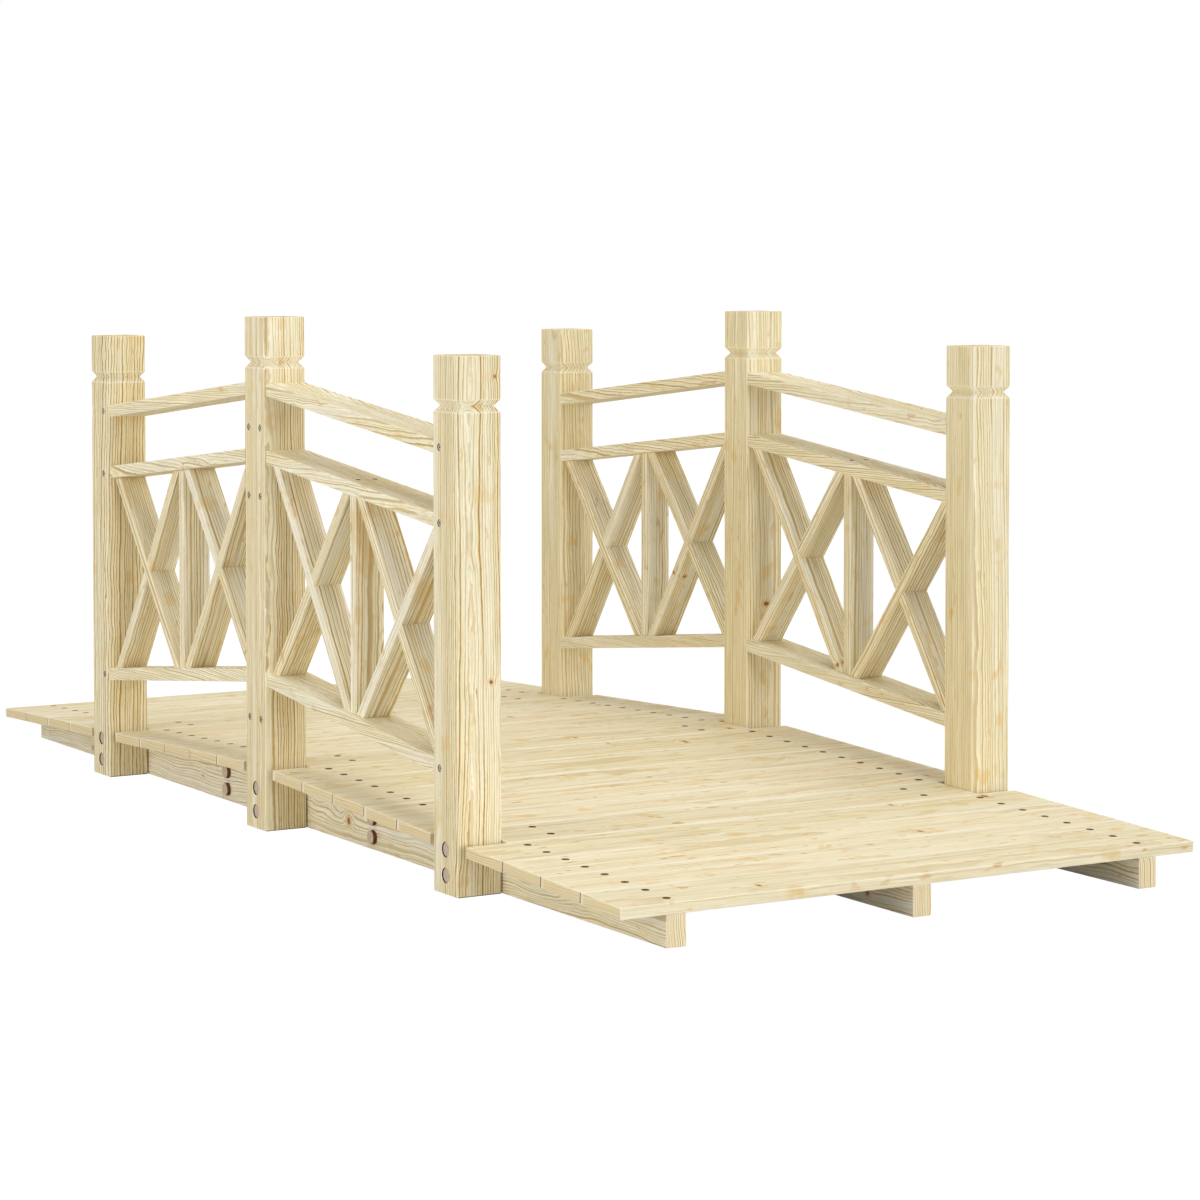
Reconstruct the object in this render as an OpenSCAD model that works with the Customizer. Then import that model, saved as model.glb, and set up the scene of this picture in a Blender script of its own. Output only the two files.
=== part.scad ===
// Garden moon bridge of planed softwood: a cambered plank deck on three tapered stringers,
// with six grooved posts and four railing bays braced by crossed boards.
// X runs along the bridge, Y across it, Z up. The ground is at Z = 0 and the middle of the deck at X = Y = 0.

/* [Deck] */
// Width of one deck plank, along the bridge
plank_w = 70; // [60:0.5:85]
// Thickness of a deck plank
plank_t = 11; // [8:0.5:20]
// Gap between neighbouring planks
plank_gap = 1.5; // [0.5:0.25:4]
// Number of planks on each slope, beside the level one in the middle
slope_planks = 10; // [8:1:14]
// How far a full plank stops short of the outer faces of the posts
deck_inset = 2; // [0:0.5:12]
// Gap between a short plank and the post at its end
slot_gap = 1; // [0.5:0.25:4]

/* [Stringers] */
// Thickness of a stringer, across the bridge
stringer_t = 21; // [16:0.5:32]
// Height of a stringer at its low end
stringer_end_h = 30; // [20:0.5:50]
// Rise of the stringer's top from its end to the middle
deck_rise = 26.4; // [10:0.2:50]
// Length of the splice board that joins the two halves of a stringer
splice_len = 420; // [400:5:600]

/* [Posts] */
// Side of the square posts
post_side = 48; // [40:0.5:60]
// Height of the four end posts
end_post_h = 518.5; // [500:0.5:640]
// Height of the two middle posts
middle_post_h = 548; // [545:0.5:680]
// Width of the bridge over the outer faces of the posts
bridge_w = 660; // [560:1:900]
// Number of full planks between the middle and the end posts
bay_planks = 5; // [4:1:6]
// Gap between a post and the stringer that it is bolted to
post_gap = 1.5; // [0.5:0.25:4]
// Depth from the top of a post to the middle of its groove
groove_drop = 48.5; // [20:0.5:60]
// Height of the groove's mouth
groove_h = 12; // [6:0.5:20]
// Depth of the groove
groove_d = 4.8; // [2:0.2:8]

/* [Rails] */
// Width of a rail board, across the bridge
rail_w = 46; // [40:0.5:48]
// Thickness of a rail board
rail_t = 14; // [10:0.5:20]
// Height of the top rail's middle where it meets the end post
top_rail_z = 430.5; // [410:0.5:440]
// Height of the middle rail's middle where it meets the end post
middle_rail_z = 359; // [300:0.5:380]
// Height of the bottom rail's middle where it meets the end post
bottom_rail_z = 121.5; // [90:0.5:160]
// How much higher a rail is at the middle post
rail_rise = 40.5; // [20:0.5:60]

/* [Braces] */
// Width of the slat and brace boards, across the bridge
brace_w = 32; // [20:0.5:40]
// Thickness of a brace board
brace_t = 12.5; // [8:0.5:18]
// Thickness of the upright slat
slat_t = 13; // [8:0.5:20]

/* [Bolts] */
// Diameter of the bolt shanks
bolt_d = 8; // [6:0.5:10]
// Diameter of the bolt heads
bolt_head_d = 14.5; // [12:0.5:20]
// Thickness of the bolt heads and nuts
bolt_head_t = 4.5; // [3:0.5:8]
// Gap round a bolt's shank and head in their holes
bolt_clear = 0.3; // [0.2:0.1:1]
// How far a post bolt's head lies below the face of the post
bolt_sunk = 1; // [0:0.5:4]
// Height of the lower post bolt
post_bolt_z = 18.5; // [15:0.5:20]
// Distance between the two bolts of a post
post_bolt_pitch = 25; // [20:0.5:28]
// Distance of the stringer bolts from the ends of the splice board
splice_bolt_inset = 30; // [15:1:60]
// Height of the lower stringer bolt
splice_bolt_z = 13.5; // [12:0.5:15]
// Distance between the two stringer bolts of a pair
splice_bolt_pitch = 19.5; // [18:0.5:21]

/* [Hidden] */
$fn = 48;

// Colours of the two timbers' faces and of the bolts
pine = "#e6d6ac";
pale_pine = "#efe3c2";
bolt_colour = "#c4a898";

// The deck: one level plank in the middle, then a straight slope to each end
pitch = plank_w + plank_gap;
level_half = pitch / 2;
slope_len = slope_planks * pitch - plank_gap / 2;
slope_angle = asin(deck_rise / slope_len);
half_len = level_half + slope_len * cos(slope_angle);
stringer_mid_h = stringer_end_h + deck_rise;

// The posts stand in the middle of the slots of the short planks, which are counted from the middle
post_plank = bay_planks + 1;
end_post_x = level_half + (post_plank - 0.5) * pitch * cos(slope_angle);
post_y = bridge_w / 2 - post_side / 2;
post_inner_y = bridge_w / 2 - post_side;

// The stringers lie inside the posts, and the splice boards inside the stringers
stringer_y = post_inner_y - post_gap - stringer_t / 2;
splice_y = stringer_y - stringer_t;
splice_bolt_x = splice_len / 2 - splice_bolt_inset;

// A railing bay: its clear span and the height of each rail at the middle post's face
bay_start = post_side / 2;
bay_span = end_post_x - post_side;
rail_fall = rail_rise / bay_span;
rail_half = rail_t / 2 * sqrt(1 + rail_fall * rail_fall);
rail_y = post_inner_y + rail_w / 2;

// The lattice panel between the middle and the bottom rail of a bay
panel_low = bottom_rail_z + rail_rise + rail_half;
panel_high = middle_rail_z + rail_rise - rail_half;
panel_h = panel_high - panel_low;
slat_start = bay_span / 2 - slat_t / 2;
slat_end = bay_span / 2 + slat_t / 2;

// Height of a line that falls along the bay from its height at the middle post
function falling(z, u) = z - rail_fall * u;

// Height of the stringer's top at a distance from the middle of the bridge
function stringer_top(x) = stringer_mid_h - max(0, abs(x) - level_half) * tan(slope_angle);

// Run along the bay and length of a brace in a panel of the given run, for a foot of the given width
function brace_run(run, foot) = run - foot;
function brace_len(run, foot, sign) =
    norm([brace_run(run, foot), sign * panel_h - rail_fall * brace_run(run, foot)]);

// Width of a brace's sloping foot along the bay, so that the board itself is brace_t thick
function foot_w(run, sign, foot = brace_t, passes = 8) =
    passes == 0 ? foot : foot_w(run, sign, brace_t * brace_len(run, foot, sign) / panel_h, passes - 1);

// Front or rear half of the bridge, and left or right side of it
module at_end(front) {
    mirror([front ? 0 : 1, 0, 0]) children();
}

module at_side(left) {
    mirror([0, left ? 0 : 1, 0]) children();
}

// Turns an outline drawn along the bridge (X) and up (Z) into a board of the given width about Y = y
module board(y, width) {
    translate([0, y + width / 2, 0]) rotate([90, 0, 0]) linear_extrude(width) children();
}

// Hole for a bolt across the bridge, from Y = y0 to Y = y1
module across(x, z, d, y0, y1) {
    translate([x, y0, z]) rotate([-90, 0, 0]) cylinder(h = y1 - y0, d = d);
}

// Outline of a post from one side: a flat top, and the groove cut into both edges
module post_outline(h) {
    half = post_side / 2;
    groove_z = h - groove_drop;
    polygon([
        [-half, 0], [half, 0],
        [half, groove_z - groove_h / 2], [half - groove_d, groove_z], [half, groove_z + groove_h / 2],
        [half, h], [-half, h],
        [-half, groove_z + groove_h / 2], [-half + groove_d, groove_z], [-half, groove_z - groove_h / 2]
    ]);
}

// A square post on the left side: the two outlines cross, so that the groove is mitred at the corners
module post(x, h) {
    color(pine) difference() {
        translate([x, -post_y, 0]) intersection() {
            board(0, post_side) post_outline(h);
            rotate([0, 0, 90]) board(0, post_side) post_outline(h);
        }
        for (z = post_bolt_zs) post_bolt_hole(x, z);
    }
}

// Heights of a post's two bolts
post_bolt_zs = [post_bolt_z, post_bolt_z + post_bolt_pitch];

// A post bolt goes on through the stringer where the stringer is tall enough there
function bolt_reaches(x, z) = stringer_top(x) > z + bolt_d;

// How far in a bolt of the left side ends: past the splice board at the middle post, past the stringer, or in the post
function post_bolt_end(x, z) =
    !bolt_reaches(x, z) ? -post_inner_y
    : abs(x) < splice_len / 2 ? -splice_y + stringer_t / 2
    : -stringer_y + stringer_t / 2;

module post_bolt_hole(x, z) {
    sunk = bolt_sunk + bolt_head_t;
    across(x, z, bolt_d + 2 * bolt_clear, -bridge_w / 2, post_bolt_end(x, z));
    across(x, z, bolt_head_d + 2 * bolt_clear, -bridge_w / 2 - sunk, -bridge_w / 2 + sunk);
}

// Head in its counterbore, shank, and a hexagon nut where the bolt comes out
module post_bolt(x, z) {
    head_y = -bridge_w / 2 + bolt_sunk;
    end_y = post_bolt_end(x, z);
    across(x, z, bolt_head_d, head_y, head_y + bolt_head_t);
    across(x, z, bolt_d, head_y, end_y);
    if (bolt_reaches(x, z)) nut(x, z, end_y);
}

module nut(x, z, y) {
    translate([x, y, z]) rotate([-90, 0, 0]) cylinder(h = bolt_head_t, d = bolt_head_d, $fn = 6);
}

// A rail of one bay: a sloping board cut upright at both ends to butt against the posts
module rail(z) {
    color(pale_pine) board(-rail_y, rail_w) polygon([
        for (end = [[0, -1], [bay_span, -1], [bay_span, 1], [0, 1]])
            [bay_start + end[0], falling(z + rail_rise, end[0]) + end[1] * rail_half]
    ]);
}

module rails(z) {
    for (front = [true, false]) at_end(front) rail(z);
}

// Upright slat in the middle of a bay, cut to the slope of the rails at both ends
module slat() {
    color(pale_pine) board(-rail_y, brace_w) polygon([
        [bay_start + slat_start, falling(panel_low, slat_start)],
        [bay_start + slat_end, falling(panel_low, slat_end)],
        [bay_start + slat_end, falling(panel_high, slat_end)],
        [bay_start + slat_start, falling(panel_high, slat_start)]
    ]);
}

// Outline of a brace from corner to corner of half a panel, from u0 to u1 along the bay.
// It stands on one rail and ends under the other, and rises or falls towards u1.
module brace_outline(u0, u1, rises) {
    run = u1 - u0;
    foot = foot_w(run, rises ? 1 : -1);
    start_z = rises ? panel_low : panel_high;
    end_z = rises ? panel_high : panel_low;
    polygon([
        [bay_start + u0, falling(start_z, u0)],
        [bay_start + u0 + foot, falling(start_z, u0 + foot)],
        [bay_start + u1, falling(end_z, u1)],
        [bay_start + u1 - foot, falling(end_z, u1 - foot)]
    ]);
}

// Unbroken brace from the middle post's top corner to the slat's foot, and from there to the end post's top corner
module long_brace_outlines() {
    brace_outline(0, slat_start, false);
    brace_outline(slat_end, bay_span, true);
}

module long_braces() {
    color(pale_pine) board(-rail_y, brace_w) long_brace_outlines();
}

// Braces of the other hand: each is cut in two where it meets the unbroken one
module short_braces() {
    color(pine) board(-rail_y, brace_w) difference() {
        union() {
            brace_outline(0, slat_start, true);
            brace_outline(slat_end, bay_span, false);
        }
        long_brace_outlines();
    }
}

// Outline of a stringer between two places along the bridge: a flat foot, a level top under the middle plank,
// and a straight fall to either side of it
module stringer_outline(from, to) {
    polygon([
        [from, 0], [to, 0], [to, stringer_top(to)], [level_half, stringer_mid_h],
        [max(from, -level_half), stringer_mid_h], [from, stringer_top(from)]
    ]);
}

// Heights of a pair of stringer bolts
splice_bolt_zs = [splice_bolt_z, splice_bolt_z + splice_bolt_pitch];

module splice_bolt_holes(y0, y1) {
    for (x = [-splice_bolt_x, splice_bolt_x])
        for (z = splice_bolt_zs)
            across(x, z, bolt_d + 2 * bolt_clear, y0, y1);
}

// Holes for the post bolts of one side that go through to a given depth
module post_bolt_holes() {
    for (x = [-end_post_x, 0, end_post_x])
        for (z = post_bolt_zs)
            if (bolt_reaches(x, z)) post_bolt_hole(x, z);
}

// Half of a stringer about Y = y, with the holes of its bolts
module stringer_half(y, front, bolted) {
    color(pine) difference() {
        at_end(front) board(y, stringer_t) stringer_outline(0, half_len);
        splice_bolt_holes(y - stringer_t, y + stringer_t);
        if (bolted) post_bolt_holes();
    }
}

// Board of the stringer's own section on its inner face, across the meeting of its halves
module splice_board(y, bolted) {
    color(pine) difference() {
        board(y, stringer_t) stringer_outline(-splice_len / 2, splice_len / 2);
        splice_bolt_holes(y - stringer_t, y + stringer_t);
        if (bolted) post_bolt_holes();
    }
}

// Bolts through a stringer at Y = y and the splice board on its inner side
module stringer_bolts(y) {
    outer = y - stringer_t / 2;
    inner = outer + 2 * stringer_t;
    color(bolt_colour) for (x = [-splice_bolt_x, splice_bolt_x]) for (z = splice_bolt_zs) {
        across(x, z, bolt_head_d, outer - bolt_head_t, outer);
        across(x, z, bolt_d, outer - bolt_head_t, inner);
        nut(x, z, inner);
    }
}

module post_bolts() {
    color(bolt_colour) for (x = [-end_post_x, 0, end_post_x])
        for (z = post_bolt_zs)
            post_bolt(x, z);
}

// Length of the full and of the short planks
full_plank = bridge_w - 2 * deck_inset;
short_plank = 2 * (post_inner_y - slot_gap);

// One plank of the front slope, counted from the middle
module slope_plank(n) {
    len = n == post_plank ? short_plank : full_plank;
    translate([level_half, 0, stringer_mid_h]) rotate([0, slope_angle, 0])
        translate([plank_gap / 2 + (n - 1) * pitch, -len / 2, 0]) cube([plank_w, len, plank_t]);
}

module slope_planks_from(first, last, front) {
    color(pale_pine) at_end(front) for (n = [first : last]) slope_plank(n);
}

// Level plank on the crown of the deck, cut short between the middle posts
module middle_plank() {
    color(pale_pine) translate([-plank_w / 2, -short_plank / 2, stringer_mid_h])
        cube([plank_w, short_plank, plank_t]);
}

at_side(true) post(end_post_x, end_post_h);  // left_front_post
at_side(true) post(0, middle_post_h);  // left_middle_post
at_side(true) post(-end_post_x, end_post_h);  // left_rear_post
at_side(false) post(end_post_x, end_post_h);  // right_front_post
at_side(false) post(0, middle_post_h);  // right_middle_post
at_side(false) post(-end_post_x, end_post_h);  // right_rear_post

at_side(true) rails(top_rail_z);  // left_top_rails
at_side(true) rails(middle_rail_z);  // left_middle_rails
at_side(true) rails(bottom_rail_z);  // left_bottom_rails
at_side(false) rails(top_rail_z);  // right_top_rails
at_side(false) rails(middle_rail_z);  // right_middle_rails
at_side(false) rails(bottom_rail_z);  // right_bottom_rails

at_side(true) at_end(true) slat();  // left_front_slat
at_side(true) at_end(true) long_braces();  // left_front_long_braces
at_side(true) at_end(true) short_braces();  // left_front_short_braces
at_side(true) at_end(false) slat();  // left_rear_slat
at_side(true) at_end(false) long_braces();  // left_rear_long_braces
at_side(true) at_end(false) short_braces();  // left_rear_short_braces
at_side(false) at_end(true) slat();  // right_front_slat
at_side(false) at_end(true) long_braces();  // right_front_long_braces
at_side(false) at_end(true) short_braces();  // right_front_short_braces
at_side(false) at_end(false) slat();  // right_rear_slat
at_side(false) at_end(false) long_braces();  // right_rear_long_braces
at_side(false) at_end(false) short_braces();  // right_rear_short_braces

at_side(true) stringer_half(-stringer_y, true, true);  // left_front_stringer
at_side(true) stringer_half(-stringer_y, false, true);  // left_rear_stringer
at_side(true) splice_board(-splice_y, true);  // left_splice_board
stringer_half(0, true, false);  // centre_front_stringer
stringer_half(0, false, false);  // centre_rear_stringer
splice_board(stringer_t, false);  // centre_splice_board
at_side(false) stringer_half(-stringer_y, true, true);  // right_front_stringer
at_side(false) stringer_half(-stringer_y, false, true);  // right_rear_stringer
at_side(false) splice_board(-splice_y, true);  // right_splice_board

middle_plank();
slope_planks_from(1, post_plank - 1, true);  // front_bay_planks
slope_planks_from(post_plank, post_plank, true);  // front_post_plank
slope_planks_from(post_plank + 1, slope_planks, true);  // front_end_planks
slope_planks_from(1, post_plank - 1, false);  // rear_bay_planks
slope_planks_from(post_plank, post_plank, false);  // rear_post_plank
slope_planks_from(post_plank + 1, slope_planks, false);  // rear_end_planks

at_side(true) post_bolts();  // left_post_bolts
at_side(false) post_bolts();  // right_post_bolts
at_side(true) stringer_bolts(-stringer_y);  // left_stringer_bolts
stringer_bolts(0);  // centre_stringer_bolts
at_side(false) stringer_bolts(-stringer_y);  // right_stringer_bolts
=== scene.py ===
import math
import random

import bmesh
import bpy
from mathutils import Matrix, Vector


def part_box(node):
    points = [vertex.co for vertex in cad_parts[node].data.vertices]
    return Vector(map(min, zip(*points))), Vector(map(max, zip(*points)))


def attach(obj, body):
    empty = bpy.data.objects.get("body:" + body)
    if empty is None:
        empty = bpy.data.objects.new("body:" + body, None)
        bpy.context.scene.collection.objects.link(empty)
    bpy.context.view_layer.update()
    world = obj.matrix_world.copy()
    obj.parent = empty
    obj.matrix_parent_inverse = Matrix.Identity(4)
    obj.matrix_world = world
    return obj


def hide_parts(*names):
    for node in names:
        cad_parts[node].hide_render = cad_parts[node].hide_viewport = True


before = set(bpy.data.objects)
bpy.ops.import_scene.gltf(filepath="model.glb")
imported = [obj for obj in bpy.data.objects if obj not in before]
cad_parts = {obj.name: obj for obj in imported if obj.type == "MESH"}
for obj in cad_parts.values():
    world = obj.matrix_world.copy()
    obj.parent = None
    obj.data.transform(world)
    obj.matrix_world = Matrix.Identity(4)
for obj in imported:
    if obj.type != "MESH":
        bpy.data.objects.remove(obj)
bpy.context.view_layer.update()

MM = 0.001


def feed(tree, socket, value):
    """Link an output to a socket, or set the socket where a plain value is given."""
    if isinstance(value, bpy.types.NodeSocket):
        tree.links.new(value, socket)
    else:
        socket.default_value = value


def maths(tree, operation, *values):
    """One sum on plain values."""
    node = tree.nodes.new("ShaderNodeMath")
    node.operation = operation
    for socket, value in zip(node.inputs, values):
        feed(tree, socket, value)
    return node.outputs[0]


def vectors(tree, operation, *values):
    """One sum on places or directions."""
    node = tree.nodes.new("ShaderNodeVectorMath")
    node.operation = operation
    for socket, value in zip(node.inputs, values):
        feed(tree, socket, value)
    return node.outputs["Value" if operation == "LENGTH" else "Vector"]


def scaled(tree, vector, amount):
    """A direction made longer or shorter by a plain value."""
    node = tree.nodes.new("ShaderNodeVectorMath")
    node.operation = "SCALE"
    feed(tree, node.inputs[0], vector)
    feed(tree, node.inputs["Scale"], amount)
    return node.outputs["Vector"]


def eased(tree, value, low, high):
    """0 at low and 1 at high, with soft ends."""
    node = tree.nodes.new("ShaderNodeMapRange")
    node.interpolation_type = "SMOOTHSTEP"
    for name, given in (("Value", value), ("From Min", low), ("From Max", high)):
        feed(tree, node.inputs[name], given)
    return node.outputs["Result"]


def blended(tree, share, first, second, way="MIX"):
    """The first colour with a share of the second laid over it."""
    node = tree.nodes.new("ShaderNodeMix")
    node.data_type = "RGBA"
    node.blend_type = way
    sockets = {s.identifier: s for s in node.inputs}
    feed(tree, sockets["Factor_Float"], share)
    feed(tree, sockets["A_Color"], first)
    feed(tree, sockets["B_Color"], second)
    return [s for s in node.outputs if s.identifier == "Result_Color"][0]


def mottle(tree, place, per_metre, detail=1.0):
    """Noise that is stretched along the log: per_metre gives its fineness on each axis."""
    node = tree.nodes.new("ShaderNodeTexNoise")
    node.inputs["Scale"].default_value = 1.0
    node.inputs["Detail"].default_value = detail
    feed(tree, node.inputs["Vector"], vectors(tree, "MULTIPLY", place, per_metre))
    return node


def colour(red, green, blue):
    """A colour as it looks on screen, 0 to 255, turned into the light values of a shader."""
    def light(v):
        v /= 255
        return v / 12.92 if v <= 0.04045 else ((v + 0.055) / 1.055) ** 2.4
    return (light(red), light(green), light(blue), 1.0)


def pine_grain_group():
    """Sawn pine: year rings round a pith outside the board, bent round knots, with resin and fibre."""
    tree = bpy.data.node_groups.new("pine_grain", "ShaderNodeTree")
    for name, kind, usual in (
        ("Ring Width", "NodeSocketFloat", 0.0036),
        ("Waviness", "NodeSocketFloat", 1.0),
        ("Swirl", "NodeSocketFloat", 0.3),
        ("Taper", "NodeSocketFloat", 0.008),
        ("Contrast", "NodeSocketFloat", 0.8),
        ("Knots", "NodeSocketFloat", 0.4),
        ("Flecks", "NodeSocketFloat", 0.5),
        ("Amber", "NodeSocketFloat", 0.5),
        ("Worn Edge", "NodeSocketFloat", 0.0),
        ("Early Wood", "NodeSocketColor", colour(251, 239, 198)),
        ("Pale Wood", "NodeSocketColor", colour(254, 246, 217)),
        ("Late Wood", "NodeSocketColor", colour(184, 142, 48)),
        ("Golden Wood", "NodeSocketColor", colour(206, 158, 58)),
    ):
        socket = tree.interface.new_socket(name=name, in_out="INPUT", socket_type=kind)
        socket.default_value = usual
    for name, kind in (("Color", "NodeSocketColor"), ("Roughness", "NodeSocketFloat"),
                       ("Height", "NodeSocketFloat")):
        tree.interface.new_socket(name=name, in_out="OUTPUT", socket_type=kind)
    given = tree.nodes.new("NodeGroupInput").outputs
    stored = {}
    for name in ("log", "tone", "end_grain", "arris", "breadth"):
        node = tree.nodes.new("ShaderNodeAttribute")
        node.attribute_name = name
        stored[name] = node.outputs["Vector" if name == "log" else "Fac"]
    log = stored["log"]
    on_end = stored["end_grain"]

    def times(first, second):
        return maths(tree, "MULTIPLY", first, second)

    def rising(value, gain, base):
        return maths(tree, "MULTIPLY_ADD", value, gain, base)

    def patches(where, per_metre, detail=1.0):
        return mottle(tree, where, per_metre, detail).outputs["Fac"]

    def drift(per_metre, reach):
        """A shift of the rings across the log, to either side."""
        noise = mottle(tree, log, per_metre).outputs["Color"]
        either_way = vectors(tree, "SUBTRACT", noise, (0.5, 0.5, 0.5))
        return vectors(tree, "MULTIPLY", either_way, (0, reach, reach))

    # The log is never quite round or straight, so its rings wander and ripple along the board
    wander = drift((2.4, 8, 8), 9 * MM)
    ripple = drift((34, 70, 70), 2.8 * MM)
    curl = drift((11, 26, 26), 12 * MM)
    rag = drift((130, 420, 420), 0.5 * MM)
    rippled_here = eased(tree, patches(log, (5, 22, 22)), 0.42, 0.66)
    shift = vectors(tree, "ADD", wander, scaled(tree, ripple, rippled_here))
    shift = vectors(tree, "ADD", shift, scaled(tree, curl, given["Swirl"]))
    shift = vectors(tree, "ADD", shift, rag)
    place = vectors(tree, "ADD", log, scaled(tree, shift, given["Waviness"]))
    parts = tree.nodes.new("ShaderNodeSeparateXYZ")
    feed(tree, parts.inputs[0], place)
    along, across, deep = parts.outputs
    end_flattening = 0.65
    flatter = tree.nodes.new("ShaderNodeCombineXYZ")
    feed(tree, flatter.inputs["Y"], times(across, rising(on_end, -end_flattening, 1.0)))
    feed(tree, flatter.inputs["Z"], deep)
    radius = vectors(tree, "LENGTH", flatter.outputs[0])

    # Knots are branches, so each is a cone that runs out from the pith and pushes the rings aside
    pitch_along = 100 * MM
    pitch_round = 50 * MM
    arc_radius = 50 * MM
    knot_stretch = 0.62
    least_knot = 1.1 * MM
    knot_spread = 1.3 * MM
    push = 1.6
    push_fall = 0.13
    bearing = times(maths(tree, "ARCTAN2", deep, across), arc_radius)
    cell = tree.nodes.new("ShaderNodeCombineXYZ")
    feed(tree, cell.inputs["X"], maths(tree, "DIVIDE", along, pitch_along))
    feed(tree, cell.inputs["Y"], maths(tree, "DIVIDE", bearing, pitch_round))
    branch = tree.nodes.new("ShaderNodeTexVoronoi")
    branch.inputs["Scale"].default_value = 1.0
    feed(tree, branch.inputs["Vector"], cell.outputs[0])
    offset = vectors(tree, "SUBTRACT", cell.outputs[0], branch.outputs["Position"])
    away = vectors(tree, "LENGTH",
                   vectors(tree, "MULTIPLY", offset, (pitch_along * knot_stretch, pitch_round, 0)))
    chance = tree.nodes.new("ShaderNodeSeparateColor")
    feed(tree, chance.inputs[0], branch.outputs["Color"])
    luck, bulk, stain = chance.outputs
    there = maths(tree, "LESS_THAN", luck, given["Knots"])
    size = rising(maths(tree, "POWER", bulk, 3.0), knot_spread, least_knot)
    near = maths(tree, "DIVIDE", away, size)
    knot = times(there, eased(tree, near, 1.15, 0.7))
    halo = times(there, eased(tree, near, 3.0, 1.0))
    bend = maths(tree, "EXPONENT", times(maths(tree, "POWER", near, 2.0), -push_fall))
    bend = times(times(bend, there), times(size, push))

    # A year's ring starts pale, darkens slowly and ends in a sharp line; wet and dry years differ
    uneven_scale = 0.27
    uneven_years = 2.0
    reach = maths(tree, "ADD", maths(tree, "ADD", radius, bend), times(along, given["Taper"]))
    years = maths(tree, "DIVIDE", reach, given["Ring Width"])
    uneven = tree.nodes.new("ShaderNodeTexNoise")
    uneven.noise_dimensions = "1D"
    uneven.inputs["Scale"].default_value = uneven_scale
    uneven.inputs["Detail"].default_value = 1.0
    feed(tree, uneven.inputs["W"], years)
    years = rising(uneven.outputs["Fac"], uneven_years, years)
    season = maths(tree, "FRACT", years)
    weather = tree.nodes.new("ShaderNodeTexWhiteNoise")
    weather.noise_dimensions = "1D"
    feed(tree, weather.inputs["W"], maths(tree, "FLOOR", years))
    year = tree.nodes.new("ShaderNodeSeparateColor")
    feed(tree, year.inputs[0], weather.outputs["Color"])
    dry, golden, doubled = year.outputs
    late = times(eased(tree, season, 0.52, 0.8), eased(tree, season, 1.0, 0.95))
    late = times(late, rising(dry, 0.4, 0.6))
    false_ring = times(eased(tree, season, 0.2, 0.3), eased(tree, season, 0.42, 0.36))
    false_ring = times(false_ring, times(doubled, 0.45))
    late = maths(tree, "MAXIMUM", late, false_ring)
    late_wood = blended(tree, eased(tree, golden, 0.4, 1.0), given["Late Wood"], given["Golden Wood"])

    # Bands of paler sapwood, fine fibres and short resin streaks run along the board
    face_grain = maths(tree, "SUBTRACT", 1.0, on_end)
    bands = patches(place, (1.3, 60, 60), 2.0)
    clear = times(face_grain, eased(tree, bands, 0.55, 0.59))
    late = times(late, rising(clear, -0.5, 1.0))
    fibre = eased(tree, patches(place, (16, 620, 620), 3.0), 0.34, 0.66)
    streak = patches(place, (7, 260, 260), 2.0)
    cluster = eased(tree, patches(place, (8, 24, 24)), 0.38, 0.6)
    resin = eased(tree, patches(place, (45, 130, 130)), 0.655, 0.74)
    resin = times(resin, times(given["Flecks"], face_grain))
    resin = times(resin, rising(cluster, 0.6, 0.4))
    amber = eased(tree, patches(place, (30, 45, 45), 2.0), 0.6, 0.72)
    amber = times(amber, times(given["Amber"], face_grain))

    # The colour is built up in this order: sapwood, rings, fibre shade, resin, knots and painted highlights
    # on the edges
    spring_wood = colour(255, 248, 221)
    amber_stain = colour(230, 190, 108)
    resin_fleck = colour(216, 167, 84)
    knot_halo = colour(222, 178, 104)
    knot_heart = colour(132, 72, 42)
    highlight_white = colour(255, 249, 229)
    sawn_end = colour(252, 248, 240)
    shade_powers = (0.95, 1.0, 1.65)
    paler = times(face_grain, eased(tree, bands, 0.42, 0.66))
    wood = blended(tree, paler, given["Early Wood"], given["Pale Wood"])
    spring = times(face_grain, eased(tree, season, 0.34, 0.04))
    wood = blended(tree, times(spring, times(given["Contrast"], 0.65)), wood, spring_wood)
    strong = rising(on_end, 0.3, given["Contrast"])
    wood = blended(tree, times(late, strong), wood, late_wood)
    shade = rising(streak, 0.1, 0.95)
    shade = times(shade, rising(fibre, 0.16, 0.915))
    shade = times(shade, rising(stored["tone"], 0.08, 0.95))
    tinge = tree.nodes.new("ShaderNodeCombineColor")
    for socket, power in zip(tinge.inputs, shade_powers):
        feed(tree, socket, maths(tree, "POWER", shade, power))
    wood = blended(tree, face_grain, wood, tinge.outputs[0], "MULTIPLY")
    wood = blended(tree, amber, wood, amber_stain)
    wood = blended(tree, times(resin, 0.85), wood, resin_fleck)
    wood = blended(tree, times(halo, times(stain, 0.7)), wood, knot_halo)
    wood = blended(tree, times(knot, rising(stain, 0.5, 0.45)), wood, knot_heart)
    # Painted highlight: a pale strip along one long edge of each board, broken up along its length, and a
    # paler tint on every narrow bevel face, standing in for light caught by the edges.
    painted_edge_highlight = eased(tree, patches(log, (4, 0, 0)), 0.38, 0.56)
    painted_edge_highlight = times(painted_edge_highlight, eased(tree, stored["breadth"], -0.82, -0.87))
    painted_edge_highlight = times(painted_edge_highlight, given["Worn Edge"])
    painted_edge_highlight = maths(tree, "MAXIMUM", painted_edge_highlight, times(stored["arris"], 0.45))
    wood = blended(tree, painted_edge_highlight, wood, highlight_white)
    sawn = blended(tree, 1.0, wood, sawn_end, "MULTIPLY")
    wood = blended(tree, on_end, wood, sawn)

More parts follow.
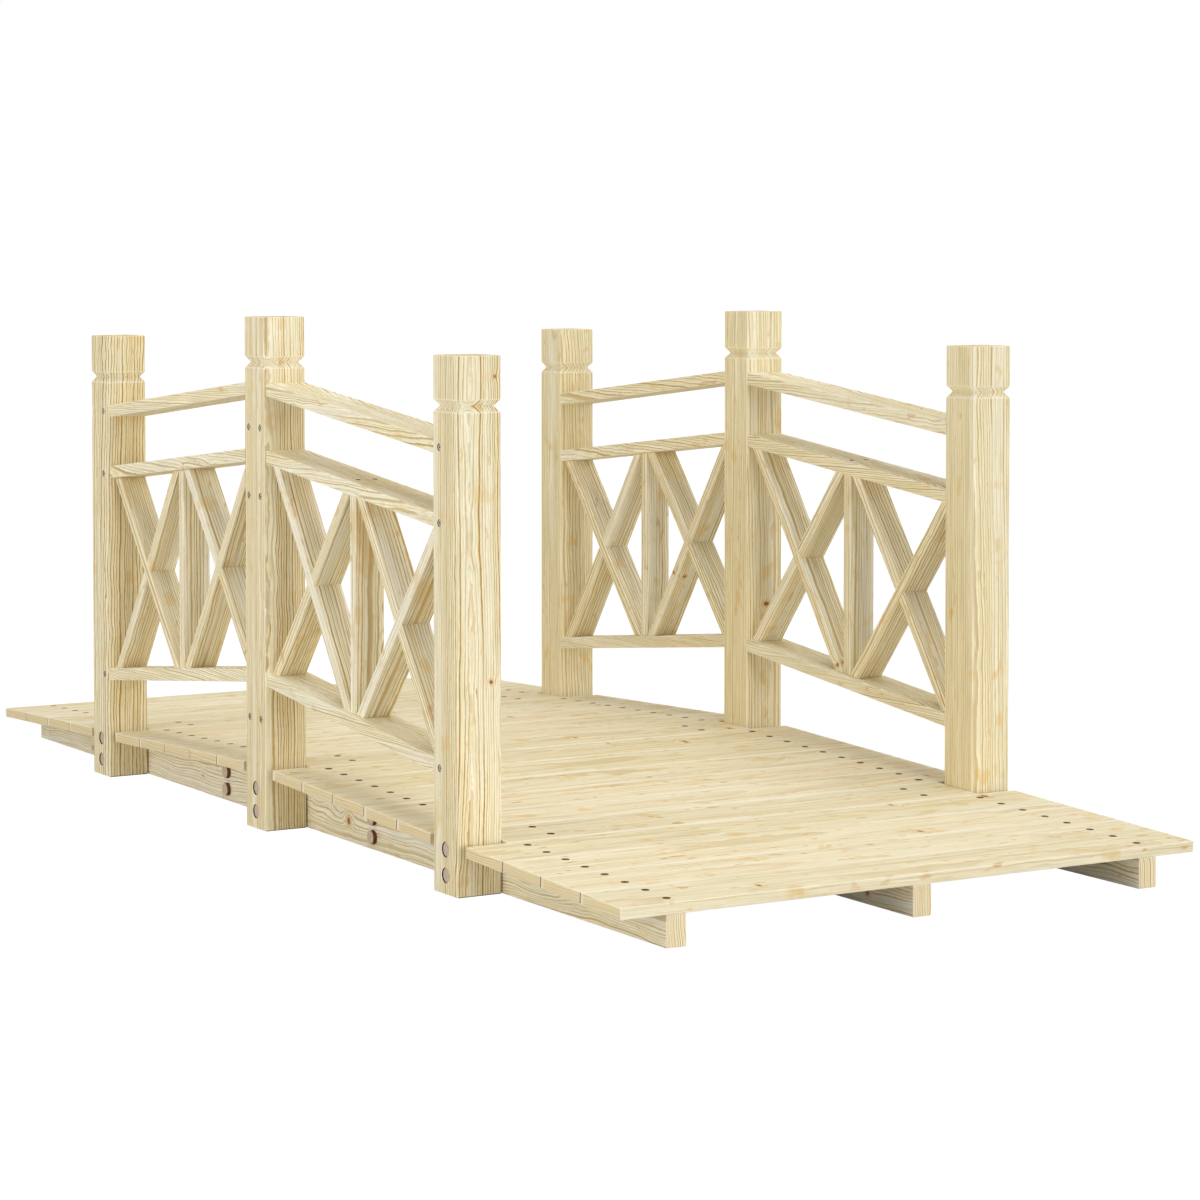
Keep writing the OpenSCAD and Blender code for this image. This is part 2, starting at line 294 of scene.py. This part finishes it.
    # Late wood and knots are dense: they plane smoother than the rest and stand a little proud
    plain_rough = 0.66
    late_polish = 0.1
    knot_polish = 0.15
    end_rough = 0.12
    proud = 0.6
    fibre_lift = 0.4
    rough = rising(late, -late_polish, plain_rough)
    rough = rising(on_end, end_rough, rough)
    rough = rising(knot, -knot_polish, rough)
    height = rising(late, proud, times(fibre, fibre_lift))
    height = rising(knot, proud, height)
    out = tree.nodes.new("NodeGroupOutput").inputs
    feed(tree, out["Color"], wood)
    feed(tree, out["Roughness"], rough)
    feed(tree, out["Height"], height)
    return tree


pine_grain = pine_grain_group()


def timber(name, **grain):
    """A bare planed pine finish; grain gives the values that set this kind of board apart."""
    dull_gloss = 0.12
    grain_relief = 0.3
    grain_depth = 0.25 * MM
    finish = bpy.data.materials.new(name)
    finish.use_nodes = True
    tree = finish.node_tree
    shader = tree.nodes["Principled BSDF"]
    shader.inputs["Specular IOR Level"].default_value = dull_gloss
    pine = tree.nodes.new("ShaderNodeGroup")
    pine.node_tree = pine_grain
    for socket, value in grain.items():
        pine.inputs[socket.replace("_", " ").title()].default_value = value
    bump = tree.nodes.new("ShaderNodeBump")
    bump.inputs["Strength"].default_value = grain_relief
    bump.inputs["Distance"].default_value = grain_depth
    tree.links.new(pine.outputs["Height"], bump.inputs["Height"])
    tree.links.new(pine.outputs["Color"], shader.inputs["Base Color"])
    tree.links.new(pine.outputs["Roughness"], shader.inputs["Roughness"])
    tree.links.new(bump.outputs["Normal"], shader.inputs["Normal"])
    return finish


def boards_of(mesh):
    """The separate boards in a mesh, each as its list of vertices."""
    left = {v.index for v in mesh.verts}
    boards = []
    for vert in mesh.verts:
        if vert.index not in left:
            continue
        left.discard(vert.index)
        board, edge = [], [vert]
        while edge:
            one = edge.pop()
            board.append(one)
            for link in one.link_edges:
                other = link.other_vert(one)
                if other.index in left:
                    left.discard(other.index)
                    edge.append(other)
        boards.append(board)
    return boards


def whole_faces(node):
    """A CAD node's mesh with the triangles of each flat face joined again."""
    same_point = 0.01 * MM
    flat_within = math.radians(0.5)
    mesh = bmesh.new()
    mesh.from_mesh(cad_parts[node].data)
    bmesh.ops.remove_doubles(mesh, verts=mesh.verts, dist=same_point)
    bmesh.ops.dissolve_limit(mesh, angle_limit=flat_within, verts=mesh.verts, edges=mesh.edges)
    mesh.verts.index_update()
    return mesh


def rounded(mesh, edges, width):
    """Takes the sharpness off the given edges."""
    bmesh.ops.bevel(mesh, geom=edges, offset=width, segments=2, profile=0.5, affect="EDGES",
                    clamp_overlap=True)


def mesh_of(name, mesh):
    """Turns a mesh that is being worked on into the finished mesh of that name."""
    data = bpy.data.meshes.new(name)
    mesh.to_mesh(data)
    mesh.free()
    return data


def placed(name, data):
    """A new thing in the scene."""
    thing = bpy.data.objects.new(name, data)
    bpy.context.scene.collection.objects.link(thing)
    return thing


def planed(node, finish, wide, pith, along=None, arris=0.8 * MM, bores=None, lining=None, picked=None):
    """The dressed copy of a CAD node: edges eased, holes bored, and each board given its place in a log.

    wide is the direction of the boards' broad side, and pith the nearest and furthest
    that the heart of the log lies from a board's middle, through the thickness and sideways.
    picked gives those two, how close the rings stand and how pale the wood is, for a board
    chosen for its figure."""
    sharp_angle = 0.3
    shortest_edge = 6 * MM
    end_facing = 0.85
    widest_arris = 1.5 * arris
    mesh = whole_faces(node)
    run = {}
    for board in boards_of(mesh):
        edges = {e for v in board for e in v.link_edges}
        longest = max(edges, key=lambda e: (round(e.calc_length(), 6), -e.index))
        line = Vector(along) if along else (longest.verts[1].co - longest.verts[0].co).normalized()
        low = [min(v.co[i] for v in board) for i in range(3)]
        high = [max(v.co[i] for v in board) for i in range(3)]
        run[tuple(round((a + b) / 2, 4) for a, b in zip(low, high))] = line
    rounded(mesh, [e for e in mesh.edges if e.is_manifold and e.is_convex
                   and e.calc_face_angle(0) > sharp_angle and e.calc_length() > shortest_edge], arris)
    data = mesh_of("planed_" + node, mesh)
    data.materials.append(finish)
    if bores:
        data = bored(data, bores, lining)

    mesh = bmesh.new()
    mesh.from_mesh(data)
    mesh.verts.index_update()
    log = mesh.verts.layers.float_vector.new("log")
    tone = mesh.verts.layers.float.new("tone")
    breadth = mesh.verts.layers.float.new("breadth")
    ends = mesh.faces.layers.float.new("end_grain")
    arris_highlight = mesh.faces.layers.float.new("arris")
    for count, board in enumerate(boards_of(mesh)):
        middle = sum((v.co for v in board), Vector()) / len(board)
        line = run[min(run, key=lambda place: (Vector(place) - middle).length)]
        side = (Vector(wide) - Vector(wide).dot(line) * line).normalized()
        thin = line.cross(side)
        draw = random.Random(f"{node} {count}")
        start = draw.uniform(0, 10)
        heart = draw.choice((-1, 1)) * draw.uniform(*pith[0])
        aside = draw.choice((-1, 1)) * draw.uniform(*pith[1])
        shade = draw.random()
        growth = draw.uniform(0.75, 1.2)
        if picked:
            heart, aside, growth, shade = picked
        half_breadth = max(abs((v.co - middle).dot(side)) for v in board)
        for vert in board:
            reach = vert.co - middle
            vert[log] = (reach.dot(line) + start, growth * (reach.dot(side) + aside),
                         growth * (reach.dot(thin) + heart))
            vert[tone] = shade
            vert[breadth] = reach.dot(side) / half_breadth
        for face in {f for v in board for f in v.link_faces}:
            face[ends] = 1.0 if abs(face.normal.dot(line)) > end_facing else 0.0
            strip = face.calc_area() / max(e.calc_length() for e in face.edges)
            face[arris_highlight] = 1.0 if strip < widest_arris else 0.0
            face.smooth = True
    mesh.to_mesh(data)
    mesh.free()
    piece = placed("planed_" + node, data)
    piece.modifiers.new("flat_faces", "WEIGHTED_NORMAL").keep_sharp = True
    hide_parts(node)
    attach(piece, "root")
    return piece


stringer_pine = timber("stringer_pine", ring_width=0.0019, taper=0.014, contrast=0.72, knots=0.9, flecks=0.4,
                       amber=0.2, waviness=0.9, swirl=0.7, early_wood=colour(254, 246, 217),
                       pale_wood=colour(255, 251, 235))
stringer_pith = ((0.05, 0.07), (0.015, 0.035))
for line in ("left", "centre", "right"):
    for end in ("front", "rear"):
        planed(f"{line}_{end}_stringer", stringer_pine, wide=(0, 0, 1),
               pith=stringer_pith, along=(1, 0, 0))

# Splice boards: three short boards of the same stock, one behind each butt joint,
# that make the two halves of a stringer line into one beam.
for line in ("left", "centre", "right"):
    planed(f"{line}_splice_board", stringer_pine, wide=(0, 0, 1),
           pith=stringer_pith, along=(1, 0, 0))

# Stringer bolts: round-headed bolts through each stringer half and its splice board, with a
# nut behind. The heads are pale on the face and dark brown on the side.


def bolt_finish(name, tint, rough, sheen):
    """Steel of a given tint, with a faint sheen and blotches."""
    blotches_per_metre = (420, 420, 420)
    blotch_shade = 0.72
    blotch_rough = 0.25
    blotch_relief = 0.15
    blotch_depth = 0.1 * MM
    finish = bpy.data.materials.new(name)
    finish.use_nodes = True
    tree = finish.node_tree
    shader = tree.nodes["Principled BSDF"]
    shader.inputs["Metallic"].default_value = 0.4 * sheen
    shader.inputs["Specular IOR Level"].default_value = sheen
    where = tree.nodes.new("ShaderNodeTexCoord").outputs["Object"]
    blotch = mottle(tree, where, blotches_per_metre, 3.0).outputs["Fac"]
    darker = tuple(c * blotch_shade for c in tint[:3]) + (1.0,)
    feed(tree, shader.inputs["Base Color"], blended(tree, eased(tree, blotch, 0.42, 0.75), tint, darker))
    feed(tree, shader.inputs["Roughness"], maths(tree, "MULTIPLY_ADD", blotch, blotch_rough, rough))
    bump = tree.nodes.new("ShaderNodeBump")
    bump.inputs["Strength"].default_value = blotch_relief
    bump.inputs["Distance"].default_value = blotch_depth
    feed(tree, bump.inputs["Height"], blotch)
    feed(tree, shader.inputs["Normal"], bump.outputs["Normal"])
    return finish


bolt_face = bolt_finish("bolt_face", colour(212, 190, 168), 0.5, 0.25)
bolt_side = bolt_finish("bolt_side", colour(128, 88, 60), 0.6, 0.03)


def turned_bolts(node):
    """The dressed copy of a row of bolts: rims and nut corners rounded, side and face told apart."""
    sharp_angle = 0.7
    rim_width = 0.5 * MM
    face_facing = 0.9
    mesh = whole_faces(node)
    rounded(mesh, [e for e in mesh.edges if e.is_manifold and e.is_convex
                   and e.calc_face_angle(0) > sharp_angle], rim_width)
    mesh.normal_update()
    for face in mesh.faces:
        face.smooth = True
        face.material_index = 0 if abs(face.normal.y) > face_facing else 1
    data = mesh_of("turned_" + node, mesh)
    data.materials.append(bolt_face)
    data.materials.append(bolt_side)
    piece = placed("turned_" + node, data)
    piece.modifiers.new("flat_faces", "WEIGHTED_NORMAL").keep_sharp = True
    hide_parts(node)
    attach(piece, "root")


for line in ("left", "centre", "right"):
    turned_bolts(f"{line}_stringer_bolts")

# Deck planks: twenty-one planed pine planks across the stringers, three of them cut short to
# let the posts through. Four shallow holes in each take the heads of its screws.
deck_pine = timber("deck_pine", ring_width=0.0022, contrast=0.26, knots=0.25, flecks=1.0,
                   amber=0.5, waviness=0.7, worn_edge=0.9,
                   early_wood=colour(245, 231, 194), pale_wood=colour(248, 238, 207))
# Painted shade: a dark brown pine finish for the long edges of the planks, so that the narrow joints between
# them read as dark lines of shade.
painted_joint_shade = timber("painted_joint_shade", ring_width=0.003, contrast=0.5, early_wood=colour(138, 102, 56),
                   pale_wood=colour(152, 116, 68), late_wood=colour(100, 72, 40))
# Painted hole shade: a mottled near-black brown for the walls and floors of the shallow screw holes and the
# driver recesses, standing in for the shade that falls inside them.
hole_shade = bpy.data.materials.new("painted_hole_shade")
hole_shade.use_nodes = True
hole_shade_tree = hole_shade.node_tree
hole_shade_shader = hole_shade_tree.nodes["Principled BSDF"]
hole_shade_place = hole_shade_tree.nodes.new("ShaderNodeTexCoord").outputs["Object"]
shade_mottle = mottle(hole_shade_tree, hole_shade_place, (900, 900, 900), 2.0).outputs["Fac"]
feed(hole_shade_tree, hole_shade_shader.inputs["Base Color"],
     blended(hole_shade_tree, shade_mottle, colour(44, 29, 20), colour(26, 17, 12)))
hole_shade_shader.inputs["Roughness"].default_value = 0.85
hole_shade_shader.inputs["Specular IOR Level"].default_value = 0.0


def bored(data, bores, lining):
    """Cuts shallow round holes: each is (place, direction out of the wood, diameter, depth)."""
    sides = 24
    cutter = bmesh.new()
    for place, out, wide, deep in bores:
        turn = Vector(out).to_track_quat("Z", "Y").to_matrix().to_4x4()
        bmesh.ops.create_cone(cutter, cap_ends=True, segments=sides, radius1=wide / 2, radius2=wide / 2,
                              depth=2 * deep, matrix=Matrix.Translation(place) @ turn)
    tool = mesh_of("drill", cutter)
    tool.materials.append(lining)
    work = placed("work", data)
    drill = placed("drill", tool)
    cut = work.modifiers.new("holes", "BOOLEAN")
    cut.operation = "DIFFERENCE"
    cut.solver = "EXACT"
    cut.material_mode = "TRANSFER"
    cut.object = drill
    done = bpy.data.meshes.new_from_object(work.evaluated_get(bpy.context.evaluated_depsgraph_get()))
    done.name = data.name
    bpy.data.objects.remove(work)
    bpy.data.objects.remove(drill)
    bpy.data.meshes.remove(tool)
    return done


def board_tops(node):
    """Middle of the top, and the way up, of each board that lies flat in a node."""
    up_facing = 0.9
    mesh = whole_faces(node)
    mesh.normal_update()
    tops = [(f.calc_center_median(), f.normal.copy()) for f in mesh.faces if f.normal.z > up_facing]
    mesh.free()
    return sorted(tops, key=lambda top: top[0].x)


def faces_next_plank(normal):
    """Whether a face belongs to the long edge of a plank, or to the upright part of its arris."""
    square_on = 0.97
    mostly_on = 0.6
    upright = 0.3
    return abs(normal.x) > square_on or abs(normal.x) > mostly_on and abs(normal.z) < upright


screw_pair = 18 * MM
screw_line = 270 * MM
short_screw_line = 224 * MM
deck_head = 4.6 * MM
deck_hole = 7.8 * MM
deck_sunk = 0.08 * MM
deck_hole_depth = 0.3 * MM
deck_reach = 740 * MM
slot_reach = 45 * MM
deck_pith = ((0.12, 0.2), (0, 0.03))
end_post_x = (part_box("left_front_post")[0].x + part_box("left_front_post")[1].x) / 2
deck_screws = []
short_planks = ("middle_plank", "front_post_plank", "rear_post_plank")
for node in short_planks + ("front_bay_planks", "front_end_planks", "rear_bay_planks", "rear_end_planks"):
    row = short_screw_line if node in short_planks else screw_line
    spots = []
    for middle, up in board_tops(node):
        ahead = Vector((0, 1, 0)).cross(up)
        for step in (-screw_pair, screw_pair):
            for side in (-1, 1):
                spots.append((middle + ahead * step + Vector((0, side * row, 0)), up))
    piece = planed(node, deck_pine, wide=(1, 0, 0), pith=deck_pith, along=(0, 1, 0),
                   arris=1.0 * MM,
                   bores=[(place, up, deck_hole, deck_hole_depth) for place, up in spots], lining=hole_shade)
    # The long plank edges inside the joints take the painted joint shade; those at the outer ends and by the
    # post gaps do not.
    piece.data.materials.append(painted_joint_shade)
    joint_shade_slot = len(piece.data.materials) - 1
    for polygon in piece.data.polygons:
        reach = abs(polygon.center.x)
        beside_post = min(reach, abs(reach - end_post_x)) < slot_reach
        joint = faces_next_plank(polygon.normal)
        if joint and reach < deck_reach and not beside_post and polygon.material_index == 0:
            polygon.material_index = joint_shade_slot
    deck_screws += spots

# Deck screws: countersunk cross-head screws, two into each outer stringer from every plank,
# driven a little below the surface.


def screw_heads(name, screws, head, sunk, face_finish, driver_hole):
    """A set of driven screws: flat head with rounded rim and a cross-shaped driver hole."""
    points = 24
    neck = 0.5 * head / 2
    neck_depth = 2.6 * MM
    rim_depth = 0.5 * MM
    rim_drop = 0.18 * MM
    rim_inset = 0.25 * MM
    arm = 0.27 * head
    half_arm = 0.06 * head
    driver_depth = 1.4 * MM
    driver_taper = 0.6
    mesh = bmesh.new()
    circle = [(math.cos(2 * math.pi * k / points), math.sin(2 * math.pi * k / points)) for k in range(points)]
    cross = [(arm, -half_arm), (arm, half_arm), (half_arm, half_arm)]
    cross = [(math.cos(q) * x - math.sin(q) * y, math.sin(q) * x + math.cos(q) * y)
             for q in (0, math.pi / 2, math.pi, 3 * math.pi / 2) for x, y in cross]

    def outline(seat, corners, level, size=1.0):
        return [mesh.verts.new(seat @ Vector((x * size, y * size, level))) for x, y in corners]

    def wall(low, high, kind=0):
        for k in range(len(low)):
            face = mesh.faces.new((low[k], low[k - 1], high[k - 1], high[k]))
            face.material_index = kind
            face.smooth = True

    for place, out in screws:
        seat = Matrix.Translation(place) @ Vector(out).to_track_quat("Z", "Y").to_matrix().to_4x4()
        rings = [outline(seat, circle, -sunk - neck_depth, neck),
                 outline(seat, circle, -sunk - rim_depth, head / 2),
                 outline(seat, circle, -sunk - rim_drop, head / 2),
                 outline(seat, circle, -sunk, head / 2 - rim_inset)]
        for low, high in zip(rings, rings[1:]):
            wall(high, low)
        mesh.faces.new(list(reversed(rings[0])))
        mouth = outline(seat, cross, -sunk)
        pit_floor = outline(seat, cross, -sunk - driver_depth, driver_taper)
        wall(mouth, pit_floor, 1)
        pit = mesh.faces.new(pit_floor)
        pit.material_index = 1
        rim = rings[-1]
        border = [mesh.edges.get((rim[k], rim[k - 1])) for k in range(points)]
        border += [mesh.edges.get((mouth[k], mouth[k - 1])) for k in range(len(mouth))]
        filled = bmesh.ops.triangle_fill(mesh, edges=border, use_beauty=True, normal=Vector(out))
        for item in filled["geom"]:
            if isinstance(item, bmesh.types.BMFace):
                item.material_index = 0
    bmesh.ops.recalc_face_normals(mesh, faces=mesh.faces)
    data = mesh_of(name, mesh)
    data.materials.append(face_finish)
    data.materials.append(driver_hole)
    piece = placed(name, data)
    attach(piece, "root")


# The cross recesses of the deck screws take the painted hole shade.
screw_heads("deck_screws", deck_screws, deck_head, deck_sunk, bolt_side, hole_shade)

# Posts: six square pine posts, notched round below the head with a mitred groove.
# Each stands in a gap of the deck and is bolted to the stringer beside it.
post_pine = {
    "left": timber("bold_post_pine", ring_width=0.003, contrast=1.1, knots=0.15, flecks=0.45,
                   amber=0.35, waviness=1.5),
    "right": timber("even_post_pine", ring_width=0.0025, contrast=0.72, knots=0.15, flecks=0.45,
                    amber=0.5, waviness=1.0),
}
post_pith = ((0.05, 0.08), (0.05, 0.08))
figured = {
    "left_front_post": (36 * MM, -2 * MM, 1.15, 0.4),
    "left_middle_post": (36 * MM, 9 * MM, 1.15, 0.5),
    "right_front_post": (-74 * MM, 73 * MM, 1.1, 0.4),
    "right_middle_post": (76 * MM, 72 * MM, 0.95, 0.5),
}
end_screw_x = 417 * MM
middle_screw_x = 14 * MM
end_screw_heights = (430 * MM, 357 * MM, 120.5 * MM)
middle_screw_heights = (430 * MM, 357 * MM, 119 * MM)
rail_head = 6.6 * MM
rail_hole = 7.4 * MM
rail_sunk = 0.5 * MM
bolt_hole_facet = 60e-6
bolt_hole_side = 0.3
bolt_hole_top = 60 * MM
rail_screws = []
for side, out in (("left", -1), ("right", 1)):
    for stand in ("front", "middle", "rear"):
        node = f"{side}_{stand}_post"
        low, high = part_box(node)
        face = low.y if out < 0 else high.y
        if stand == "middle":
            spots = [(x, z) for z in middle_screw_heights for x in (-middle_screw_x, middle_screw_x)]
        else:
            spots = [(math.copysign(end_screw_x, low.x + high.x), z) for z in end_screw_heights]
        screws = [(Vector((x, face, z)), Vector((0, out, 0))) for x, z in spots]
        piece = planed(node, post_pine[side], wide=(0, 1, 0), pith=post_pith, along=(0, 0, 1),
                       bores=[(place, way, rail_hole, 2 * rail_sunk) for place, way in screws],
                       lining=hole_shade, picked=figured.get(node))
        # The small faces of the bolt holes low on each post take the painted hole shade as well.
        for polygon in piece.data.polygons:
            small = polygon.area < bolt_hole_facet
            if small and abs(polygon.normal.y) < bolt_hole_side and polygon.center.z < bolt_hole_top:
                polygon.material_index = 1
        rail_screws += screws

# Post bolts: two round-headed bolts in each post, let into the outer face and run through
# to a nut behind the splice board or stringer.
for side in ("left", "right"):
    turned_bolts(f"{side}_post_bolts")

# Rails: three pairs of flat pine rails a side, sloping down from the middle posts, cut to the
# slope at both ends and held by long screws through the posts.
rail_pine = timber("rail_pine", ring_width=0.0019, contrast=0.85, knots=0.2, flecks=0.5, amber=0.3,
                   waviness=1.0, early_wood=colour(253, 243, 206), pale_wood=colour(255, 249, 224))
rail_pith = ((0.03, 0.05), (0.03, 0.05))
slat_head = 4.6 * MM
slat_hole = 5.4 * MM
slat_sunk = 0.25 * MM
slat_screw_gap = 9.5 * MM
slat_screws = []
for side in ("left", "right"):
    for level in ("top", "middle", "bottom"):
        node = f"{side}_{level}_rails"
        spots = []
        if level == "middle":
            middle_y = sum(corner.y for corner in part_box(node)) / 2
            for top, up in board_tops(node):
                bay = "front" if top.x > 0 else "rear"
                x = sum(corner.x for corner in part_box(f"{side}_{bay}_slat")) / 2
                z = top.z - (x - top.x) * up.x / up.z
                spots += [(Vector((x, middle_y + gap, z)), up) for gap in (-slat_screw_gap, slat_screw_gap)]
        planed(node, rail_pine, wide=(0, 1, 0), pith=rail_pith, along=(1, 0, 0),
               bores=[(place, up, slat_hole, 3 * slat_sunk) for place, up in spots], lining=hole_shade)
        slat_screws += spots

# Rail and slat screws: the sunk heads that show on the outer faces of the posts, and the smaller
# pairs on the middle rails that hold the slats.
screw_heads("rail_screws", rail_screws, rail_head, rail_sunk, bolt_face, bolt_side)
# The cross recesses of the slat screws take the painted hole shade.
screw_heads("slat_screws", slat_screws, slat_head, slat_sunk, bolt_side, hole_shade)

# Braced panels: an upright slat with a pair of crossed braces on each side of it, in every bay.
# One brace of a cross runs through, and two short ones butt against it.
brace_pine = timber("brace_pine", ring_width=0.0024, contrast=0.92, knots=0.12, flecks=0.6, amber=0.4,
                    waviness=0.9, early_wood=colour(254, 244, 208), pale_wood=colour(255, 250, 227))
brace_pith = ((0.03, 0.05), (0.03, 0.05))
for side in ("left", "right"):
    for bay in ("front", "rear"):
        for kind in ("slat", "long_braces", "short_braces"):
            planed(f"{side}_{bay}_{kind}", brace_pine, wide=(0, 1, 0), pith=brace_pith)

# Floor and backdrop: a plain white studio sweep, a hair below the feet of the bridge. It shines
# a little to the eye, so that it reads as pure white, and keeps a faint shadow.
floor_reach = 30
floor_drop = 0.2 * MM
floor_white = 0.62
floor_shine = 1.12
shine_share = 0.9


def to_the_eye(tree):
    """1 for what the camera sees, straight, in a mirror or through glass, and 0 for light that falls."""
    path = tree.nodes.new("ShaderNodeLightPath").outputs
    by_way = maths(tree, "MAXIMUM", path["Is Glossy Ray"], path["Is Transmission Ray"])
    return maths(tree, "MAXIMUM", path["Is Camera Ray"], by_way)


floor_mesh = bmesh.new()
bmesh.ops.create_grid(floor_mesh, x_segments=1, y_segments=1, size=floor_reach)
floor_data = mesh_of("studio_floor", floor_mesh)
studio_floor = placed("studio_floor", floor_data)
studio_floor.location.z = -floor_drop
white = bpy.data.materials.new("studio_white")
white.use_nodes = True
white_tree = white.node_tree
white_shader = white_tree.nodes["Principled BSDF"]
white_shader.inputs["Base Color"].default_value = (floor_white, floor_white, floor_white, 1)
white_shader.inputs["Roughness"].default_value = 0.95
white_shader.inputs["Specular IOR Level"].default_value = 0.0
shine = white_tree.nodes.new("ShaderNodeEmission")
shine.inputs["Strength"].default_value = floor_shine
sweep = white_tree.nodes.new("ShaderNodeMixShader")
feed(white_tree, sweep.inputs[0], maths(white_tree, "MULTIPLY", to_the_eye(white_tree), shine_share))
feed(white_tree, sweep.inputs[1], white_shader.outputs[0])
feed(white_tree, sweep.inputs[2], shine.outputs[0])
feed(white_tree, white_tree.nodes["Material Output"].inputs["Surface"], sweep.outputs[0])
floor_data.materials.append(white)

# Studio light: a weak white dome, four broad lamps far off overhead, at both sides and in front,
# and two nearer soft boxes: a large one on the left and a small low one at the near left corner,
# which reaches under the end of the deck.
dome_light = 0.12
lamp_distance = 4
world = bpy.data.worlds.new("studio")
bpy.context.scene.world = world
world.use_nodes = True
sky = world.node_tree
sky_shader = sky.nodes["Background"]
sky_shader.inputs["Color"].default_value = (1, 1, 1, 1)
feed(sky, sky_shader.inputs["Strength"],
     maths(sky, "MULTIPLY_ADD", to_the_eye(sky), 1.0 - dome_light, dome_light))
for name, towards, level, softness in (
    ("overhead", (0, 0, 1), 0.48, 55),
    ("left_side", (0, -1, 0.08), 0.38, 40),
    ("right_side", (0.3, 0.8, 0.5), 0.25, 60),
    ("front", (1, 0, 0.15), 0.405, 20),
):
    lamp_data = bpy.data.lights.new(name + "_lamp", "SUN")
    lamp_data.energy = level * math.pi
    lamp_data.angle = math.radians(softness)
    lamp = placed(name + "_lamp", lamp_data)
    lamp.location = Vector(towards).normalized() * lamp_distance
    lamp.rotation_euler = Vector(towards).to_track_quat("Z", "Y").to_euler()
for name, place, aim, level, breadth in (
    ("left", (0.1, -1.9, 0.7), (0, -0.3, 0.3), 0.22, 1.2),
    ("low", (1.5, -0.9, 0.1), (0.68, 0, 0.04), 0.085, 0.4),
):
    beam = Vector(aim) - Vector(place)
    box_data = bpy.data.lights.new(name + "_soft_box", "AREA")
    box_data.size = breadth
    box_data.energy = level * math.pi ** 2 * beam.length_squared
    soft_box = placed(name + "_soft_box", box_data)
    soft_box.location = place
    soft_box.rotation_euler = beam.to_track_quat("-Z", "Y").to_euler()
    soft_box.visible_camera = False

# Camera: in front of the near left corner, just above the height of the posts, with a long lens
# that looks almost level and a frame that is shifted down to the bridge.
eye = Vector((3.24468, -1.83954, 0.61895))
yaw = 1.0323
dip = 0.0441
lens_data = bpy.data.cameras.new("photo_view")
lens_data.sensor_width = 36
lens_data.lens = 100.394
lens_data.shift_y = -0.16875
view = placed("photo_view", lens_data)
view.location = eye
gaze = Vector((-math.sin(yaw) * math.cos(dip), math.cos(yaw) * math.cos(dip), -math.sin(dip)))
view.rotation_euler = gaze.to_track_quat("-Z", "Y").to_euler()
bpy.context.scene.camera = view
bpy.context.scene.view_settings.view_transform = "Standard"
